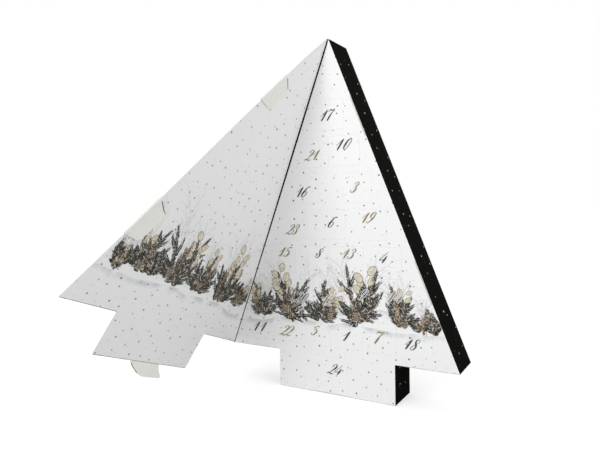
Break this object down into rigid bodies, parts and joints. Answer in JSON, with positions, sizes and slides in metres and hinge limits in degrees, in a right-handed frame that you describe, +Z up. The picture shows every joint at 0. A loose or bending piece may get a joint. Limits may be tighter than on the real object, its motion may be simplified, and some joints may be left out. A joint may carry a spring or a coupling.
{
  "type": "advent calendar",
  "caption": "Fir-tree-shaped advent calendar: a shallow folded box on its trunk, with creased numbered doors over divided compartments and a hinged cover leaf with tuck tabs.",
  "frame": {"origin": "middle of the trunk's foot, on the surface that the calendar stands on", "axes": "+Z up along the tree, +X to the right as seen from the front, and the doors face -Y"},
  "size_m": [0.3316, 0.3483, 0.452],
  "materials": {
    "front_white": "matte",
    "door_white": "matte",
    "cover_white": "matte",
    "tab_cream": "matte",
    "wrap_black": "satin",
    "insert_grey": "matte"
  },
  "bodies": {
    "box": {"back_panel": "wrap_black", "base_floor": "wrap_black", "divider_1_1": "insert_grey", "divider_1_2": "insert_grey", "divider_1_3": "insert_grey", "divider_1_4": "insert_grey", "divider_1_5": "insert_grey", "divider_2_1": "insert_grey", "divider_2_2": "insert_grey", "divider_2_3": "insert_grey", "divider_2_4": "insert_grey", "divider_3_1": "insert_grey", "divider_3_2": "insert_grey", "divider_3_3": "insert_grey", "divider_4_1": "insert_grey", "divider_4_2": "insert_grey", "divider_5_1": "insert_grey", "divider_6_1": "insert_grey", "front_panel": "front_white", "hinge_strip": "wrap_black", "left_wall": "wrap_black", "right_wall": "wrap_black", "shelf_1": "insert_grey", "shelf_2": "insert_grey", "shelf_3": "insert_grey", "shelf_4": "insert_grey", "shelf_5": "insert_grey", "shelf_6": "insert_grey", "trunk_floor": "wrap_black", "trunk_left_wall": "wrap_black", "trunk_right_wall": "wrap_black"},
    "cover": {"cover_board": "cover_white"},
    "door_01": {"door_01": "door_white"},
    "door_02": {"door_02": "door_white"},
    "door_03": {"door_03": "door_white"},
    "door_04": {"door_04": "door_white"},
    "door_05": {"door_05": "door_white"},
    "door_06": {"door_06": "door_white"},
    "door_07": {"door_07": "door_white"},
    "door_08": {"door_08": "door_white"},
    "door_09": {"door_09": "door_white"},
    "door_10": {"door_10": "door_white"},
    "door_11": {"door_11": "door_white"},
    "door_12": {"door_12": "door_white"},
    "door_13": {"door_13": "door_white"},
    "door_14": {"door_14": "door_white"},
    "door_15": {"door_15": "door_white"},
    "door_16": {"door_16": "door_white"},
    "door_17": {"door_17": "door_white"},
    "door_18": {"door_18": "door_white"},
    "door_19": {"door_19": "door_white"},
    "door_20": {"door_20": "door_white"},
    "door_21": {"door_21": "door_white"},
    "door_22": {"door_22": "door_white"},
    "door_23": {"door_23": "door_white"},
    "door_24": {"door_24": "door_white"},
    "tuck_tab_upper": {"tuck_tab_upper": "tab_cream"},
    "tuck_tab_lower": {"tuck_tab_lower": "tab_cream"},
    "tuck_tab_trunk": {"tuck_tab_trunk": "tab_cream"}
  },
  "joints": [
    {"name": "door_01_crease", "type": "hinge", "parent": "box", "child": "door_01", "pos_m": [0.00342, -0.026, 0.0624], "axis": [0, 0, -1], "range_deg": [0, 100]},
    {"name": "door_02_crease", "type": "hinge", "parent": "box", "child": "door_02", "pos_m": [-0.11035, -0.026, 0.1085], "axis": [0, 0, -1], "range_deg": [0, 100]},
    {"name": "door_03_crease", "type": "hinge", "parent": "box", "child": "door_03", "pos_m": [0.0181, -0.026, 0.24682], "axis": [0, 0, -1], "range_deg": [0, 100]},
    {"name": "door_04_crease", "type": "hinge", "parent": "box", "child": "door_04", "pos_m": [0.0548, -0.026, 0.15461], "axis": [0, 0, -1], "range_deg": [0, 100]},
    {"name": "door_05_crease", "type": "hinge", "parent": "box", "child": "door_05", "pos_m": [-0.04062, -0.026, 0.0624], "axis": [0, 0, -1], "range_deg": [0, 100]},
    {"name": "door_06_crease", "type": "hinge", "parent": "box", "child": "door_06", "pos_m": [-0.0186, -0.026, 0.20071], "axis": [0, 0, -1], "range_deg": [0, 100]},
    {"name": "door_07_crease", "type": "hinge", "parent": "box", "child": "door_07", "pos_m": [0.04746, -0.026, 0.0624], "axis": [0, 0, -1], "range_deg": [0, 100]},
    {"name": "door_08_crease", "type": "hinge", "parent": "box", "child": "door_08", "pos_m": [-0.04307, -0.026, 0.15461], "axis": [0, 0, -1], "range_deg": [0, 100]},
    {"name": "door_09_crease", "type": "hinge", "parent": "box", "child": "door_09", "pos_m": [0.02728, -0.026, 0.1085], "axis": [0, 0, -1], "range_deg": [0, 100]},
    {"name": "door_10_crease", "type": "hinge", "parent": "box", "child": "door_10", "pos_m": [0.0029, -0.026, 0.29292], "axis": [0, 0, -1], "range_deg": [0, 100]},
    {"name": "door_11_crease", "type": "hinge", "parent": "box", "child": "door_11", "pos_m": [-0.1287, -0.026, 0.0624], "axis": [0, 0, -1], "range_deg": [0, 100]},
    {"name": "door_12_crease", "type": "hinge", "parent": "box", "child": "door_12", "pos_m": [-0.0186, -0.026, 0.1085], "axis": [0, 0, -1], "range_deg": [0, 100]},
    {"name": "door_13_crease", "type": "hinge", "parent": "box", "child": "door_13", "pos_m": [0.00587, -0.026, 0.15461], "axis": [0, 0, -1], "range_deg": [0, 100]},
    {"name": "door_14_crease", "type": "hinge", "parent": "box", "child": "door_14", "pos_m": [0.07315, -0.026, 0.1085], "axis": [0, 0, -1], "range_deg": [0, 100]},
    {"name": "door_15_crease", "type": "hinge", "parent": "box", "child": "door_15", "pos_m": [-0.092, -0.026, 0.15461], "axis": [0, 0, -1], "range_deg": [0, 100]},
    {"name": "door_16_crease", "type": "hinge", "parent": "box", "child": "door_16", "pos_m": [-0.0553, -0.026, 0.24682], "axis": [0, 0, -1], "range_deg": [0, 100]},
    {"name": "door_17_crease", "type": "hinge", "parent": "box", "child": "door_17", "pos_m": [-0.0186, -0.026, 0.33903], "axis": [0, 0, -1], "range_deg": [0, 100]},
    {"name": "door_18_crease", "type": "hinge", "parent": "box", "child": "door_18", "pos_m": [0.0915, -0.026, 0.0624], "axis": [0, 0, -1], "range_deg": [0, 100]},
    {"name": "door_19_crease", "type": "hinge", "parent": "box", "child": "door_19", "pos_m": [0.03645, -0.026, 0.20071], "axis": [0, 0, -1], "range_deg": [0, 100]},
    {"name": "door_20_crease", "type": "hinge", "parent": "box", "child": "door_20", "pos_m": [-0.06448, -0.026, 0.1085], "axis": [0, 0, -1], "range_deg": [0, 100]},
    {"name": "door_21_crease", "type": "hinge", "parent": "box", "child": "door_21", "pos_m": [-0.0401, -0.026, 0.29292], "axis": [0, 0, -1], "range_deg": [0, 100]},
    {"name": "door_22_crease", "type": "hinge", "parent": "box", "child": "door_22", "pos_m": [-0.08466, -0.026, 0.0624], "axis": [0, 0, -1], "range_deg": [0, 100]},
    {"name": "door_23_crease", "type": "hinge", "parent": "box", "child": "door_23", "pos_m": [-0.07365, -0.026, 0.20071], "axis": [0, 0, -1], "range_deg": [0, 100]},
    {"name": "door_24_crease", "type": "hinge", "parent": "box", "child": "door_24", "pos_m": [-0.0186, -0.026, 0.0114], "axis": [0, 0, -1], "range_deg": [0, 100]},
    {"name": "cover_crease", "type": "hinge", "parent": "box", "child": "cover", "pos_m": [-0.16, -0.0263, 0.05], "axis": [-0.3698, 0, -0.9291], "range_deg": [-90, 87]},
    {"name": "tuck_tab_upper_crease", "type": "hinge", "parent": "cover", "child": "tuck_tab_upper", "pos_m": [-0.03242, -0.09967, 0.38053], "axis": [-0.3021, -0.6862, -0.6617], "range_deg": [0, 175]},
    {"name": "tuck_tab_lower_crease", "type": "hinge", "parent": "cover", "child": "tuck_tab_lower", "pos_m": [-0.09745, -0.24738, 0.23809], "axis": [-0.3021, -0.6862, -0.6617], "range_deg": [0, 175]},
    {"name": "tuck_tab_trunk_crease", "type": "hinge", "parent": "cover", "child": "tuck_tab_trunk", "pos_m": [-0.16334, -0.19072, 0.06451], "axis": [-0.0916, 0.9278, -0.3616], "range_deg": [-105, 70]}
  ]
}
